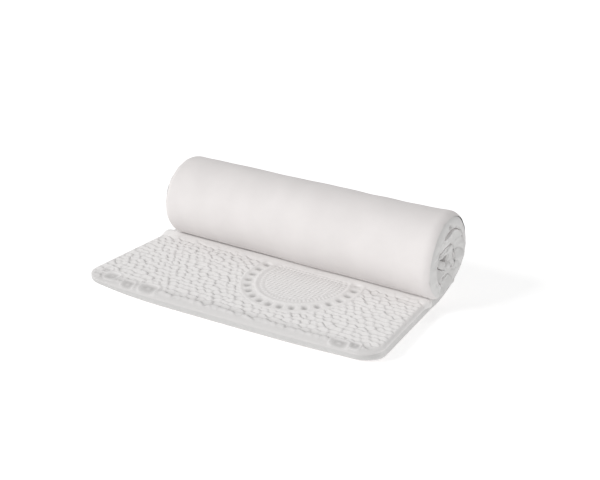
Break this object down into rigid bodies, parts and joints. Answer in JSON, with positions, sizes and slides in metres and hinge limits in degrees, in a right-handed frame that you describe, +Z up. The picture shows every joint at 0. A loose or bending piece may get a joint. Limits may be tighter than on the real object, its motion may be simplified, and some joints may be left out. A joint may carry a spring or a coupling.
{
  "type": "memory foam mattress",
  "caption": "Thin memory foam mattress with a quilted knit top, front lying flat and the rest wound into a roll, with a zipped cover over layered foam.",
  "frame": {"origin": "on the underside, in the middle of the stretch that lies flat, in the roll's mid-plane", "axes": "+X along the roll's axis, towards the right side seen from the free end; +Y from the free front edge to the roll; +Z up"},
  "size_m": [1.0895, 0.6889, 0.3305],
  "materials": {
    "smooth_cloth": "fine smooth knit, matt",
    "quilted_knit": "raised pad pattern, matt",
    "wadding": "soft fibre",
    "memory_foam": "fine open cells, matt",
    "base_foam": "open cells, matt",
    "liner_knit": "thin stretch knit",
    "zip_tape": "ribbed woven tape",
    "zip_coil": "moulded",
    "zip_metal": "satin plated",
    "label_satin": "blank satin"
  },
  "bodies": {
    "mattress": {"bottom_panel": "smooth_cloth", "top_panel": "quilted_knit", "top_wadding": "wadding", "memory_foam": "memory_foam", "base_foam": "base_foam", "foam_liner": "liner_knit", "border_left": "smooth_cloth", "border_right": "smooth_cloth", "border_front": "smooth_cloth", "border_inner_end": "smooth_cloth", "zip_tape_upper": "zip_tape", "zip_tape_lower": "zip_tape", "zip_coil_upper": "zip_coil", "zip_coil_lower": "zip_coil", "zip_stop_front": "zip_metal", "zip_stop_rear": "zip_metal", "care_label": "label_satin"},
    "slider": {"zip_slider": "zip_metal"},
    "pull": {"zip_pull": "zip_metal"}
  },
  "joints": [
    {"name": "zip_travel", "type": "slide", "parent": "mattress", "child": "slider", "axis": [-0.0527, 0.9986, 0], "range_m": [0, 0.236]},
    {"name": "pull_turn", "type": "hinge", "parent": "slider", "child": "pull", "pos_m": [-0.55281, -0.10364, 0.025], "axis": [0, 0, -1], "range_deg": [0, 170]}
  ]
}
